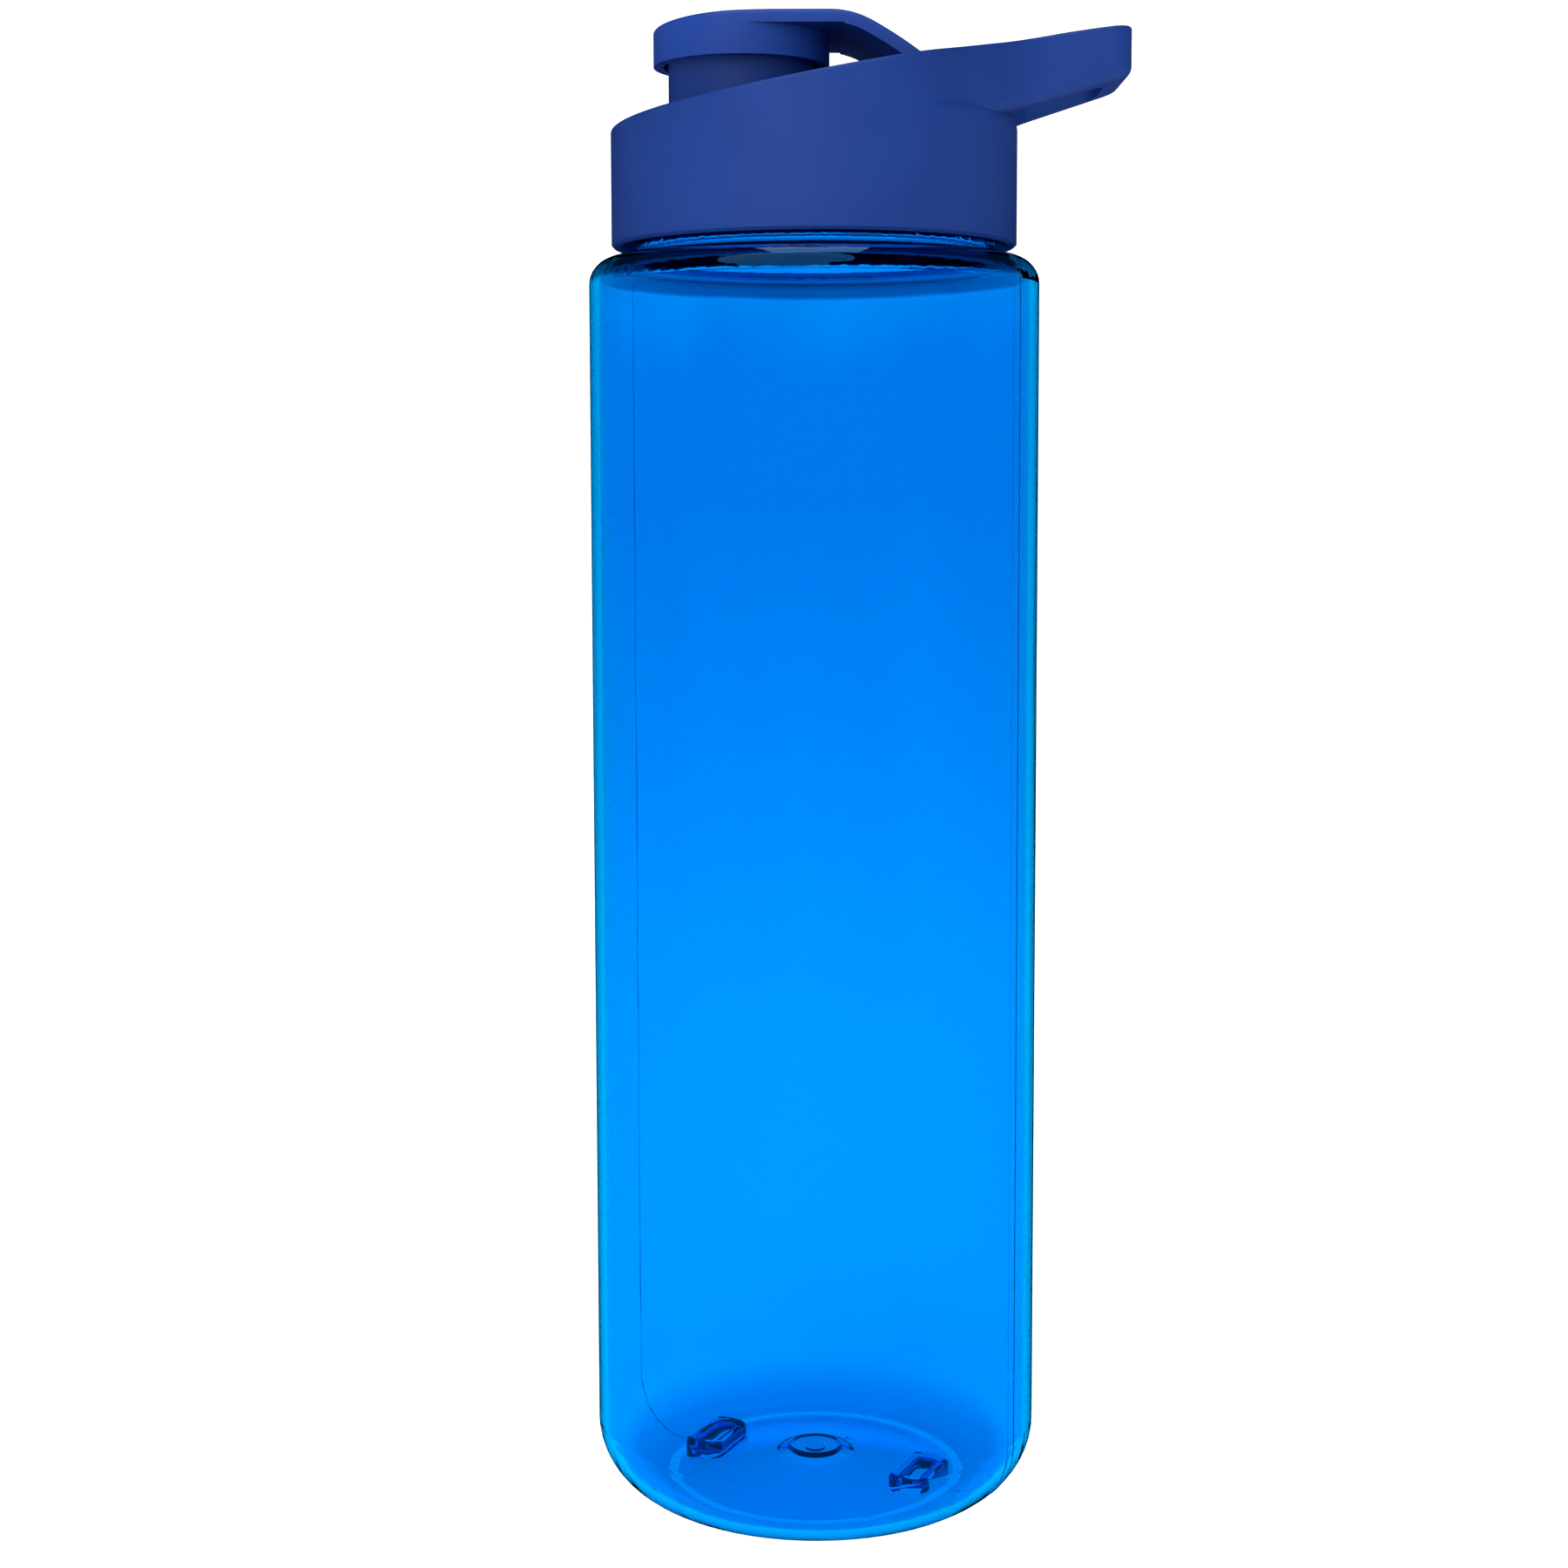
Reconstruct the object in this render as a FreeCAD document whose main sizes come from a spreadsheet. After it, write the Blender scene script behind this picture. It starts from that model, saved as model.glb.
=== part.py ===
"""Clear sports bottle with a screw-on drinking lid.

Frame: origin at the centre of the standing ring, +Z up, +X towards the carry loop, millimetres.
Every size that drives the shape is a cell of the sheet "dims"; sketches and features are bound to it.
"""

import FreeCAD, Part
import math
import os

import Sketcher

DIMENSIONS = {
    # bottle
    "body_radius": 36.5,
    "wall": 1.5,
    "stand_inner": 22.3,
    "stand_blend": 8.0,
    "base_dome": 3.0,
    "dome_start": 6.4,
    "dome_radius": 150.0,
    "dimple_radius": 4.2,
    "dimple_depth": 0.8,
    "dimple_blend": 1.2,
    "dimple_lip": 0.7,
    "heel_round": 11.5,
    "shoulder_edge": 202.9,
    "shoulder_round": 4.3,
    "shoulder_slope": 8.0,
    "neck_radius": 29.4,
    "neck_fillet": 1.9,
    "rim_height": 219.4,
    "rim_round": 0.5,
    "gate_radius": 1.6,
    "gate_height": 0.4,
    "notch_turn": -25.0,
    "notch_orbit": 18.8,
    "notch_length": 10.0,
    "notch_width": 4.2,
    "notch_foot": 1.0,
    "notch_top": 3.2,
    "notch_corner": 1.2,
    "notch_round": 1.0,
    # threads
    "pitch": 5.0,
    "thread_turns": 1.6,
    "thread_depth": 1.25,
    "thread_root": 2.3,
    "thread_crest": 1.1,
    "thread_bite": 0.35,
    "neck_thread_start": 208.6,
    "lid_thread_drop": 2.1,
    # lid
    "lid_radius": 32.8,
    "skirt_bore": 31.0,
    "skirt_bottom": 205.2,
    "skirt_bevel_in": 0.5,
    "skirt_bevel_out": 0.4,
    "lid_shoulder": 227.0,
    "lid_shoulder_round": 3.7,
    "deck_under": 221.0,
    "deck_top": 223.0,
    "ridge_left": 223.6,
    "ridge_mid_run": 26.5,
    "ridge_mid": 234.6,
    "ridge_end_run": 53.0,
    "ridge_end": 239.45,
    "ridge_hollow_radius": 390.0,
    "ridge_crown_radius": 168.0,
    "collar_wall": 2.7,
    "ridge_round": 0.5,
    "loop_root_blend": 15.0,
    "loop_edge_round": 2.0,
    "trough_end": 25.8,
    "loop_under_run": 24.0,
    "loop_under": 223.24,
    "loop_under_rise": 0.31,
    "loop_tip": 50.3,
    "loop_tip_half": 11.0,
    "loop_root_run": 32.8,
    "loop_root_half": 13.0,
    "loop_corner": 4.0,
    "hip_run": 13.0,
    "hip_radius": 22.0,
    "hole_start": 28.4,
    "hole_start_half": 10.4,
    "hole_mid_run": 35.0,
    "hole_mid_half": 7.9,
    "hole_end": 46.2,
    "hole_end_half": 6.6,
    "hole_corner": 3.0,
    "trough_corner": 4.0,
    # spout
    "spout_run": 11.65,
    "spout_radius": 11.8,
    "spout_bore": 9.8,
    "spout_top": 238.0,
    "spout_lip": 0.8,
    # hinge
    "pin_radius": 1.25,
    "pin_clearance": 0.08,
    "pin_length": 35.0,
    "barrel_radius": 3.2,
    "barrel_inset": 0.3,
    "lug_inner": 14.6,
    "lug_outer": 17.6,
    "lug_radius": 3.2,
    "lug_foot": 3.9,
    # flip cap
    "cap_radius": 14.2,
    "cap_bottom": 234.0,
    "cap_dome_radius": 200.0,
    "cap_top": 240.9,
    "cap_flat_start": -5.0,
    "cap_flat_end": 2.3,
    "bend_radius": 14.0,
    "bend_lean": 28.8,
    "arm_lean": 39.2,
    "arm_radius": 66.4,
    "arm_under_lean": 37.2,
    "arm_thickness": 2.1,
    "cap_hollow_radius": 12.6,
    "cap_edge": 0.8,
    "boss_radius": 5.0,
    "boss_bottom": 236.6,
    # seals
    "gasket_inner": 26.6,
    "gasket_outer": 30.7,
    "gasket_gap": 0.06,
    "seal_flange": 11.2,
    "seal_gap": 0.15,
    "seal_neck": 9.3,
    "seal_tip": 8.7,
    "seal_bottom": 235.4,
    "seal_round": 0.6,
    # how far a cutter runs past the part, and how far an added shape reaches into the solid it joins
    "past": 2.0,
    "bite": 0.5,
}

# Lengths below this are taken as nothing when edges and faces are picked.
FLAT = 0.001
# A face whose normal leans less than 60 degrees from an axis counts as facing that way.
FACING = 0.5

# The cap's flat top bends down into the arm, and the arm runs tangent into the hinge barrel.
BEND_RUN = "(cap_flat_end + bend_radius * sin(bend_lean * 1deg))"
BEND_HEIGHT = "(cap_top - bend_radius * (1 - cos(bend_lean * 1deg)))"
ARM_RUN = f"({BEND_RUN} + arm_radius * (sin(arm_lean * 1deg) - sin(bend_lean * 1deg)))"
ARM_HEIGHT = f"({BEND_HEIGHT} - arm_radius * (cos(bend_lean * 1deg) - cos(arm_lean * 1deg)))"
HINGE_RUN = f"({ARM_RUN} - barrel_radius * sin(arm_lean * 1deg))"
HINGE_HEIGHT = f"({ARM_HEIGHT} - barrel_radius * cos(arm_lean * 1deg))"
CAP_CEILING = "(cap_top - arm_thickness)"

doc = FreeCAD.newDocument("sports_bottle")


def make_sheet(values):
    """Write each driving size into the sheet as a plain number with an alias."""
    cells = doc.addObject("Spreadsheet::Sheet", "dims")
    for row, (alias, value) in enumerate(values.items(), start=1):
        cells.set(f"A{row}", alias)
        cells.set(f"B{row}", str(value))
        cells.setAlias(f"B{row}", alias)
    doc.recompute()
    return cells


sheet = make_sheet(DIMENSIONS)


def bound(text):
    """Point each alias named in an expression at the sheet."""
    words = []
    word = ""
    for letter in text + " ":
        if letter.isalnum() or letter == "_":
            word += letter
            continue
        words.append(f"dims.{word}" if word in DIMENSIONS else word)
        words.append(letter)
        word = ""
    return "".join(words).strip()


def value(text):
    """The present value of an expression in the sheet's aliases."""
    return float(sheet.evalExpression(bound(text)))


def bind(thing, prop, text):
    thing.setExpression(prop, bound(text))


def new_body(label):
    body = doc.addObject("PartDesign::Body", label)
    body.Label = label
    return body


def new_sketch(body, name, plane, lift="0"):
    """A sketch on one of the body's own origin planes, lifted along the plane's normal."""
    sketch = body.newObject("Sketcher::SketchObject", name)
    support = [f for f in body.Origin.OriginFeatures if f.Role == plane][0]
    sketch.AttachmentSupport = [(support, "")]
    sketch.MapMode = "FlatFace"
    bind(sketch, ".AttachmentOffset.Base.z", lift)
    return sketch


def locate(sketch, edge, point, across, up):
    """Hold one point of an edge at two expressions, measured from the sketch's origin."""
    for kind, text in (("DistanceX", across), ("DistanceY", up)):
        at = sketch.addConstraint(Sketcher.Constraint(kind, -1, 1, edge, point, value(text)))
        name = f"{kind}{at}"
        sketch.renameConstraint(at, name)
        bind(sketch, f".Constraints.{name}", text)


def bend(start, end, radius, side):
    """The arc between two points; side is 1 for a left-hand bend on the way and -1 for a right-hand one."""
    middle = (start + end) * 0.5
    half = (end - start) * 0.5
    normal = FreeCAD.Vector(-half.y, half.x, 0).normalize()
    centre = middle + normal * side * math.sqrt(radius**2 - half.Length**2)
    circle = Part.Circle(centre, FreeCAD.Vector(0, 0, 1), radius)
    first, last = (start, end) if side > 0 else (end, start)
    return Part.ArcOfCircle(circle, circle.parameter(first), circle.parameter(last))


def outline(sketch, corners):
    """A closed outline through corners (across, up) or (across, up, radius, side).

    A corner with a radius bends the edge that leaves it. Every corner and radius is an expression.
    """
    first = sketch.GeometryCount
    places = [FreeCAD.Vector(value(c[0]), value(c[1]), 0) for c in corners]
    for i, corner in enumerate(corners):
        start = places[i]
        end = places[(i + 1) % len(places)]
        if len(corner) == 2:
            sketch.addGeometry(Part.LineSegment(start, end))
        else:
            sketch.addGeometry(bend(start, end, value(corner[2]), corner[3]))
    for i, corner in enumerate(corners):
        after = (i + 1) % len(corners)
        leaves_by = 1 if len(corner) == 2 or corner[3] > 0 else 2
        next_by = 1 if len(corners[after]) == 2 or corners[after][3] > 0 else 2
        link = Sketcher.Constraint("Coincident", first + i, 3 - leaves_by, first + after, next_by)
        sketch.addConstraint(link)
        locate(sketch, first + i, leaves_by, corner[0], corner[1])
        if len(corner) == 4:
            at = sketch.addConstraint(Sketcher.Constraint("Radius", first + i, value(corner[2])))
            name = f"Radius{at}"
            sketch.renameConstraint(at, name)
            bind(sketch, f".Constraints.{name}", corner[2])
    return sketch


def disc(sketch, across, up, radius):
    """A full circle with its centre and radius bound to expressions."""
    centre = FreeCAD.Vector(value(across), value(up), 0)
    edge = sketch.addGeometry(Part.Circle(centre, FreeCAD.Vector(0, 0, 1), value(radius)))
    locate(sketch, edge, 3, across, up)
    at = sketch.addConstraint(Sketcher.Constraint("Radius", edge, value(radius)))
    name = f"Radius{at}"
    sketch.renameConstraint(at, name)
    bind(sketch, f".Constraints.{name}", radius)
    return sketch


def revolve(body, sketch, name):
    turn = body.newObject("PartDesign::Revolution", name)
    turn.Profile = sketch
    turn.ReferenceAxis = (sketch, ["V_Axis"])
    turn.Angle = 360
    return turn


def pad(body, sketch, name, length, symmetric=False):
    block = body.newObject("PartDesign::Pad", name)
    block.Profile = sketch
    bind(block, "Length", length)
    block.SideType = "Symmetric" if symmetric else "One side"
    return block


def pocket(body, sketch, name, length, symmetric=False, upward=False):
    """A pocket runs against its sketch's normal unless it is told to run along it (upward)."""
    cut = body.newObject("PartDesign::Pocket", name)
    cut.Profile = sketch
    bind(cut, "Length", length)
    cut.SideType = "Symmetric" if symmetric else "One side"
    cut.Reversed = upward
    return cut


def must_cut(body, cut, least):
    """Recompute and make sure that a cut has taken at least some volume away."""
    doc.recompute()
    removed = cut.BaseFeature.Shape.Volume - cut.Shape.Volume
    if removed < least:
        raise ValueError(f"{body.Label}: {cut.Name} removes {removed:.2f} mm3")


def edges_where(feature, test):
    doc.recompute()
    return [f"Edge{i}" for i, edge in enumerate(feature.Shape.Edges, start=1) if test(edge)]


def is_ring(edge, radius, height, slack=0.02):
    """True for a circle about a vertical axis with this radius at this height."""
    if not isinstance(edge.Curve, Part.Circle):
        return False
    return (
        abs(edge.Curve.Radius - radius) < slack
        and abs(edge.Curve.Center.z - height) < slack
        and abs(abs(edge.Curve.Axis.z) - 1) < 1e-6
    )


def ring_edges(feature, rings):
    """Names of the circular edges at any of the (radius, height) expressions."""
    wanted = [(value(radius), value(height)) for radius, height in rings]
    return edges_where(feature, lambda e: any(is_ring(e, r, h) for r, h in wanted))


def post_edges(feature, places):
    """Names of the vertical straight edges that stand at any of the (across, along) expressions."""
    wanted = [(value(x), value(y)) for x, y in places]

    def stands(edge):
        first, last = edge.firstVertex().Point, edge.lastVertex().Point
        upright = math.hypot(first.x - last.x, first.y - last.y) < 1e-6
        return upright and any(math.hypot(first.x - x, first.y - y) < 0.02 for x, y in wanted)

    return edges_where(feature, stands)


def face_normal(face):
    low_u, high_u, low_v, high_v = face.ParameterRange
    return face.normalAt((low_u + high_u) / 2, (low_v + high_v) / 2)


def edges_between(feature, is_first, is_second):
    """Names of the edges where a face of the first sort meets a face of the second sort."""
    doc.recompute()
    first = [edge for face in feature.Shape.Faces if is_first(face) for edge in face.Edges]
    second = [edge for face in feature.Shape.Faces if is_second(face) for edge in face.Edges]

    def shared(edge):
        return any(edge.isSame(e) for e in first) and any(edge.isSame(e) for e in second)

    return edges_where(feature, shared)


def mirrored(places):
    """The places and their mirror images across the XZ plane."""
    return places + [(x, f"-({y})") for x, y in places]


def fillet(body, base, name, edges, radius):
    if not edges:
        raise ValueError(f"{body.Label}: no edges for {name}")
    rounded = body.newObject("PartDesign::Fillet", name)
    rounded.Base = (base, edges)
    bind(rounded, "Radius", radius)
    doc.recompute()
    return rounded


def thread(body, name, crest_side, wall, middle):
    """A trapezoid ridge wound on a wall: crest_side 1 stands outwards, -1 stands inwards."""
    sketch = new_sketch(body, f"{name}_section", "XZ_Plane")
    root = f"{wall} - {crest_side} * thread_bite"
    crest = f"{wall} + {crest_side} * thread_depth"
    corners = [
        (root, f"{middle} - thread_root / 2"),
        (crest, f"{middle} - thread_crest / 2"),
        (crest, f"{middle} + thread_crest / 2"),
        (root, f"{middle} + thread_root / 2"),
    ]
    outline(sketch, corners if crest_side > 0 else corners[::-1])
    doc.recompute()
    ridge = body.newObject("PartDesign::AdditiveHelix", name)
    ridge.Profile = sketch
    ridge.ReferenceAxis = (sketch, ["V_Axis"])
    ridge.Mode = "pitch-turns-angle"
    bind(ridge, "Pitch", "pitch")
    bind(ridge, "Turns", "thread_turns")
    ridge.Angle = 0
    ridge.LeftHanded = False
    ridge.Reversed = False
    doc.recompute()
    return ridge


def make_bottle():
    """One blow-moulded wall: push-up base, round heel, straight sides, low shoulder and threaded neck."""
    body = new_body("bottle_body")
    neck_foot = "shoulder_edge + (body_radius - neck_radius) * tan(shoulder_slope * 1deg)"
    profile = new_sketch(body, "bottle_profile", "XZ_Plane")
    outline(profile, [
        ("0", "base_dome + dimple_depth"),
        ("dimple_radius", "base_dome + dimple_depth"),
        ("dome_start", "base_dome", "dome_radius", -1),
        ("stand_inner", "0"),
        ("body_radius", "0"),
        ("body_radius", "shoulder_edge"),
        ("neck_radius", neck_foot),
        ("neck_radius", "rim_height"),
        ("0", "rim_height"),
    ])
    last = revolve(body, profile, "bottle_block")
    for name, ring, radius in (
        ("dimple_rim", ("dimple_radius", "base_dome + dimple_depth"), "dimple_lip"),
        ("dimple_foot", ("dome_start", "base_dome"), "dimple_blend"),
        ("stand_ring", ("stand_inner", "0"), "stand_blend"),
        ("heel", ("body_radius", "0"), "heel_round"),
        ("shoulder", ("body_radius", "shoulder_edge"), "shoulder_round"),
        ("neck_root", ("neck_radius", neck_foot), "neck_fillet"),
    ):
        last = fillet(body, last, name, ring_edges(last, [ring]), radius)

    # The cavity keeps one wall thickness from the outside, so its arcs share the outer arcs' centres.
    lean = "sin(shoulder_slope * 1deg)"
    level = "cos(shoulder_slope * 1deg)"
    reach = "tan(45deg - shoulder_slope * 0.5deg)"
    round_in = "(shoulder_round - wall)"
    round_out = "(neck_fillet + wall)"
    shoulder_run = "body_radius - shoulder_round"
    shoulder_height = f"shoulder_edge - shoulder_round * {reach}"
    neck_run = "neck_radius + neck_fillet"
    neck_height = f"{neck_foot} + neck_fillet * {reach}"
    cavity = new_sketch(body, "cavity_profile", "XZ_Plane")
    outline(cavity, [
        ("0", "base_dome + dimple_depth + wall"),
        ("dimple_radius", "base_dome + dimple_depth + wall"),
        ("dome_start", "base_dome + wall", "dome_radius", -1),
        ("stand_inner", "wall"),
        ("body_radius - heel_round", "wall", "heel_round - wall", 1),
        ("body_radius - wall", "heel_round"),
        ("body_radius - wall", shoulder_height, round_in, 1),
        (f"{shoulder_run} + {round_in} * {lean}", f"{shoulder_height} + {round_in} * {level}"),
        (f"{neck_run} - {round_out} * {lean}", f"{neck_height} - {round_out} * {level}", round_out, -1),
        ("neck_radius - wall", neck_height),
        ("neck_radius - wall", "rim_height + past"),
        ("0", "rim_height + past"),
    ])
    hollow = body.newObject("PartDesign::Groove", "cavity")
    hollow.Profile = cavity
    hollow.ReferenceAxis = (cavity, ["V_Axis"])
    hollow.Angle = 360
    must_cut(body, hollow, 100000)
    last = hollow
    for name, rings, radius in (
        ("lip", [("neck_radius", "rim_height"), ("neck_radius - wall", "rim_height")], "rim_round"),
        ("floor_rim", [("dimple_radius", "base_dome + dimple_depth + wall")], "dimple_lip"),
        ("floor_foot", [("dome_start", "base_dome + wall")], "dimple_blend"),
        ("floor_ring", [("stand_inner", "wall")], "stand_blend"),
    ):
        last = fillet(body, last, name, ring_edges(last, rings), radius)

    # Two registration notches stand up into the bottle on its parting plane.
    boss = pad(body, notch_plan(body, "notch_boss_plan", "notch_foot", "wall"),
               "notch_boss", "notch_top + wall - notch_foot")
    doc.recompute()
    recess = pocket(body, notch_plan(body, "notch_plan", "0", "0"), "notch", "notch_top", upward=True)
    must_cut(body, recess, 1.0)
    pair = body.newObject("PartDesign::PolarPattern", "notch_pair")
    pair.Originals = [boss, recess]
    pair.Axis = (boss.Profile[0], ["N_Axis"])
    pair.Angle = 360
    pair.Occurrences = 2
    body.Tip = pair
    doc.recompute()
    tops = [value("notch_top"), value("notch_top + wall")]

    def on_top(edge):
        box = edge.BoundBox
        flat = box.ZLength < FLAT and any(abs(box.ZMax - top) < FLAT for top in tops)
        return flat and math.hypot(box.Center.x, box.Center.y) > value("dome_start")

    fillet(body, pair, "notch_edges", edges_where(pair, on_top), "notch_round")

    gate = new_sketch(body, "gate_plan", "XY_Plane", "base_dome + dimple_depth - gate_height")
    pad(body, disc(gate, "0", "0", "gate_radius"), "gate_vestige", "gate_height + wall / 2")
    doc.recompute()
    thread(body, "neck_thread", 1, "neck_radius", "neck_thread_start")
    return body


def notch_plan(body, name, lift, margin):
    """The plan of one notch, grown by a margin, turned to the parting plane."""
    sketch = new_sketch(body, name, "XY_Plane", lift)
    bind(sketch, ".AttachmentOffset.Rotation.Angle", "notch_turn * 1deg")
    near = f"(notch_orbit - notch_width / 2 - {margin})"
    far = f"(notch_orbit + notch_width / 2 + {margin})"
    half = f"(notch_length / 2 + {margin})"
    corner = f"(notch_corner + {margin})"
    return outline(sketch, [
        (f"{near} + {corner}", f"-{half}"),
        (f"{far} - {corner}", f"-{half}", corner, 1),
        (far, f"-{half} + {corner}"),
        (far, f"{half} - {corner}", corner, 1),
        (f"{far} - {corner}", half),
        (f"{near} + {corner}", half, corner, 1),
        (near, f"{half} - {corner}"),
        (near, f"-{half} + {corner}", corner, 1),
    ])


def make_lid():
    """Skirt, deck, sloped collar, carry loop, spout and hinge lugs, moulded in one piece."""
    body = new_body("screw_lid")

    # The collar's plan follows the skirt, leaves it at the hip and narrows into the carry loop.
    plan = new_sketch(body, "collar_plan", "XY_Plane", "deck_under")
    hip = "sqrt(lid_radius ^ 2 - hip_run ^ 2)"
    centre_share = "(1 - hip_radius / lid_radius)"
    bow_run = f"hip_run * {centre_share} + hip_radius * sin(45deg)"
    bow_half = f"{hip} * {centre_share} + hip_radius * sin(45deg)"
    tip_start = "loop_tip - loop_corner"
    tip_half = "loop_tip_half - loop_corner"
    outline(plan, [
        ("hip_run", f"-{hip}", "hip_radius", 1),
        (bow_run, f"-({bow_half})"),
        ("loop_root_run", "-loop_root_half"),
        (tip_start, "-loop_tip_half", "loop_corner", 1),
        ("loop_tip", f"-({tip_half})"),
        ("loop_tip", tip_half, "loop_corner", 1),
        (tip_start, "loop_tip_half"),
        ("loop_root_run", "loop_root_half"),
        (bow_run, bow_half, "hip_radius", 1),
        ("hip_run", hip, "lid_radius", 1),
        ("-lid_radius", "0", "lid_radius", 1),
    ])
    collar = pad(body, plan, "collar_block", "cap_top - deck_under")
    roots = post_edges(collar, mirrored([("loop_root_run", "loop_root_half")]))
    fillet(body, collar, "loop_root", roots, "loop_root_blend")

    # Below the loop the collar block is cut back along the rising underside, whose outer edge is rounded.
    under = new_sketch(body, "loop_underside", "XZ_Plane")
    outline(under, [
        ("loop_under_run", "deck_under - past"),
        ("loop_tip + past", "deck_under - past"),
        ("loop_tip + past", "loop_under + (loop_tip + past - loop_under_run) * loop_under_rise"),
        ("loop_under_run", "loop_under"),
    ])
    under_cut = pocket(body, under, "under_loop", "4 * lid_radius", symmetric=True)
    must_cut(body, under_cut, 100)

    def is_under(face):
        down = face_normal(face).z
        return -1 + FLAT < down < -FACING

    def is_wall(face):
        return abs(face_normal(face).z) < FLAT and face.BoundBox.XMax > value("loop_under_run") + FLAT

    lower = edges_between(under_cut, is_under, is_wall)
    fillet(body, under_cut, "loop_edge", lower, "loop_edge_round")

    finger = new_sketch(body, "finger_plan", "XY_Plane", "cap_top")
    outline(finger, [
        ("hole_start", "-hole_start_half"),
        ("hole_mid_run", "-hole_mid_half"),
        ("hole_end", "-hole_end_half"),
        ("hole_end", "hole_end_half"),
        ("hole_mid_run", "hole_mid_half"),
        ("hole_start", "hole_start_half"),
    ])
    finger_cut = pocket(body, finger, "finger_hole", "cap_top - deck_under")
    must_cut(body, finger_cut, 100)
    hole_ends = [("hole_start", "hole_start_half"), ("hole_end", "hole_end_half")]
    fillet(body, finger_cut, "finger_corners", post_edges(finger_cut, mirrored(hole_ends)), "hole_corner")

    skirt = new_sketch(body, "skirt_profile", "XZ_Plane")
    outline(skirt, [
        ("0", "deck_under"),
        ("skirt_bore", "deck_under"),
        ("skirt_bore", "skirt_bottom + skirt_bevel_in"),
        ("skirt_bore + skirt_bevel_in", "skirt_bottom"),
        ("lid_radius - skirt_bevel_out", "skirt_bottom"),
        ("lid_radius", "skirt_bottom + skirt_bevel_out"),
        ("lid_radius", "lid_shoulder - lid_shoulder_round", "lid_shoulder_round", 1),
        ("lid_radius - lid_shoulder_round", "lid_shoulder"),
        ("0", "lid_shoulder"),
    ])
    revolve(body, skirt, "skirt")
    doc.recompute()

    ridge = new_sketch(body, "ridge_profile", "XZ_Plane")
    outline(ridge, [
        ("-lid_radius - past", "ridge_left", "ridge_hollow_radius", 1),
        ("ridge_mid_run", "ridge_mid", "ridge_crown_radius", -1),
        ("ridge_end_run", "ridge_end"),
        ("ridge_end_run", "cap_top + past"),
        ("-lid_radius - past", "cap_top + past"),
    ])
    ridge_cut = pocket(body, ridge, "ridge", "4 * lid_radius", symmetric=True)
    must_cut(body, ridge_cut, 100)

    # Inside the collar a trough goes down to the deck.
    inner = "lid_radius - collar_wall"
    trough_half = f"sqrt(({inner}) ^ 2 - trough_end ^ 2)"
    trough = new_sketch(body, "trough_plan", "XY_Plane", "cap_top")
    outline(trough, [
        ("trough_end", f"-{trough_half}"),
        ("trough_end", trough_half, inner, 1),
        (f"-({inner})", "0", inner, 1),
    ])
    trough_cut = pocket(body, trough, "trough", "cap_top - deck_top")
    must_cut(body, trough_cut, 1000)
    corners = post_edges(trough_cut, mirrored([("trough_end", trough_half)]))
    last = fillet(body, trough_cut, "trough_corners", corners, "trough_corner")

    def on_ridge(face):
        wanted = [value("ridge_hollow_radius"), value("ridge_crown_radius")]
        return isinstance(face.Surface, Part.Cylinder) and any(
            abs(face.Surface.Radius - radius) < 0.01 for radius in wanted
        )

    rims = edges_between(last, on_ridge, lambda face: not on_ridge(face))
    fillet(body, last, "ridge_edges", rims, "ridge_round")

    spout = disc(new_sketch(body, "spout_plan", "XY_Plane", "deck_top - bite"),
                 "-spout_run", "0", "spout_radius")
    pad(body, spout, "spout", "spout_top - deck_top + bite")
    doc.recompute()

    lug = new_sketch(body, "lug_profile", "XZ_Plane")
    outline(lug, [
        (f"{HINGE_RUN} - lug_foot", "deck_top - bite"),
        (f"{HINGE_RUN} + lug_foot", "deck_top - bite"),
        (f"{HINGE_RUN} + lug_radius", HINGE_HEIGHT, "lug_radius", 1),
        (f"{HINGE_RUN} - lug_radius", HINGE_HEIGHT),
    ])
    pad(body, lug, "lugs", "2 * lug_outer", symmetric=True)
    gap = new_sketch(body, "lug_gap", "XZ_Plane")
    outline(gap, [
        (f"{HINGE_RUN} - lug_foot - past", "deck_top"),
        (f"{HINGE_RUN} + lug_foot + past", "deck_top"),
        (f"{HINGE_RUN} + lug_foot + past", f"{HINGE_HEIGHT} + lug_radius + past"),
        (f"{HINGE_RUN} - lug_foot - past", f"{HINGE_HEIGHT} + lug_radius + past"),
    ])
    gap_cut = pocket(body, gap, "between_lugs", "2 * lug_inner", symmetric=True)
    must_cut(body, gap_cut, 100)
    seat = disc(new_sketch(body, "pin_seat", "XZ_Plane"), HINGE_RUN, HINGE_HEIGHT, "pin_radius")
    seat_cut = pocket(body, seat, "pin_bore", "pin_length", symmetric=True)
    must_cut(body, seat_cut, 5)

    bore = disc(new_sketch(body, "bore_plan", "XY_Plane", "spout_top"),
                "-spout_run", "0", "spout_bore")
    bore_cut = pocket(body, bore, "spout_bore", "spout_top - deck_under")
    must_cut(body, bore_cut, 100)
    rims = ring_edges(bore_cut, [("spout_radius", "spout_top"), ("spout_bore", "spout_top")])
    fillet(body, bore_cut, "spout_lip", rims, "spout_lip")

    thread(body, "lid_thread", -1, "skirt_bore", "neck_thread_start - lid_thread_drop")
    return body


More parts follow.
